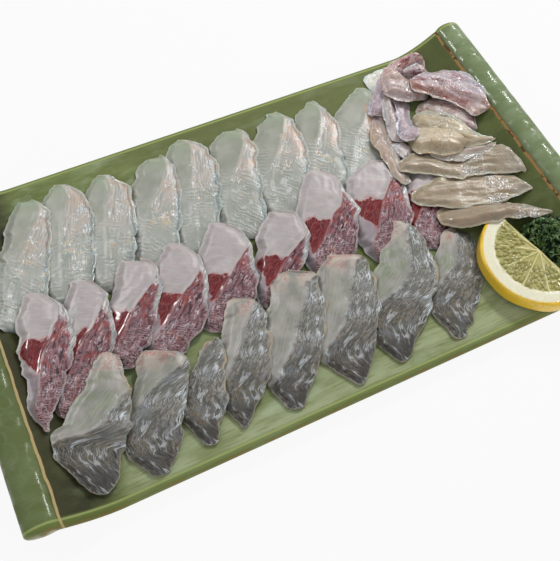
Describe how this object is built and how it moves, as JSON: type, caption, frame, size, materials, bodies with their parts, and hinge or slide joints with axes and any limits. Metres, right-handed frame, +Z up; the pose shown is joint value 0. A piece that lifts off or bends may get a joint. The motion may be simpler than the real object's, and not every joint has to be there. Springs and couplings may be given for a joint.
{
  "type": "sashimi plate",
  "caption": "Long green plate with raised rolled ends, with shingled rows of sliced raw fish, a heap of fin muscle and skin, a cut piece of lemon and curly parsley.",
  "frame": {"origin": "under the middle of the plate, on the surface that the foot ring stands on", "axes": "+X along the plate towards the end with the heap and the lemon, +Y from the front edge to the back edge, +Z up"},
  "size_m": [0.3176, 0.182, 0.0268],
  "materials": {
    "green_glaze": "streaked yellow-green glaze on stoneware, glossy",
    "white_fish": "wet translucent white fish",
    "red_fish": "wet pale fish with a dark red line and a purplish skin side",
    "grey_skin_fish": "wet grey-green fish with grey-brown skin and silver glints",
    "fin_muscle": "wet beige fin muscle and mauve skin",
    "lemon_rind": "waxy yellow rind round juicy flesh",
    "parsley_leaf": "dark green curled leaves"
  },
  "bodies": {
    "root": {"plate": "green_glaze", "back_slice_1": "white_fish", "back_slice_2": "white_fish", "back_slice_3": "white_fish", "back_slice_4": "white_fish", "back_slice_5": "white_fish", "back_slice_6": "white_fish", "back_slice_7": "white_fish", "back_slice_8": "white_fish", "back_slice_9": "white_fish", "middle_slice_1": "red_fish", "middle_slice_2": "red_fish", "middle_slice_3": "red_fish", "middle_slice_4": "red_fish", "middle_slice_5": "red_fish", "middle_slice_6": "red_fish", "middle_slice_7": "red_fish", "middle_slice_8": "red_fish", "middle_slice_9": "red_fish", "front_slice_1": "grey_skin_fish", "front_slice_2": "grey_skin_fish", "front_slice_3": "grey_skin_fish", "front_slice_4": "grey_skin_fish", "front_slice_5": "grey_skin_fish", "front_slice_6": "grey_skin_fish", "front_slice_7": "grey_skin_fish", "front_slice_8": "grey_skin_fish", "strip_left": "fin_muscle", "fin_front": "fin_muscle", "fin_middle": "fin_muscle", "fin_back": "fin_muscle", "shred_left": "fin_muscle", "flap": "fin_muscle", "band": "fin_muscle", "bulge": "fin_muscle", "wing_lower": "fin_muscle", "crest_back": "fin_muscle", "crest_fold": "fin_muscle", "crest_scrap": "fin_muscle", "lobe_left": "fin_muscle", "ribbon_left": "fin_muscle", "ribbon_right": "fin_muscle", "dome": "fin_muscle", "wing_upper": "fin_muscle", "lemon": "lemon_rind", "parsley": "parsley_leaf"}
  },
  "joints": []
}
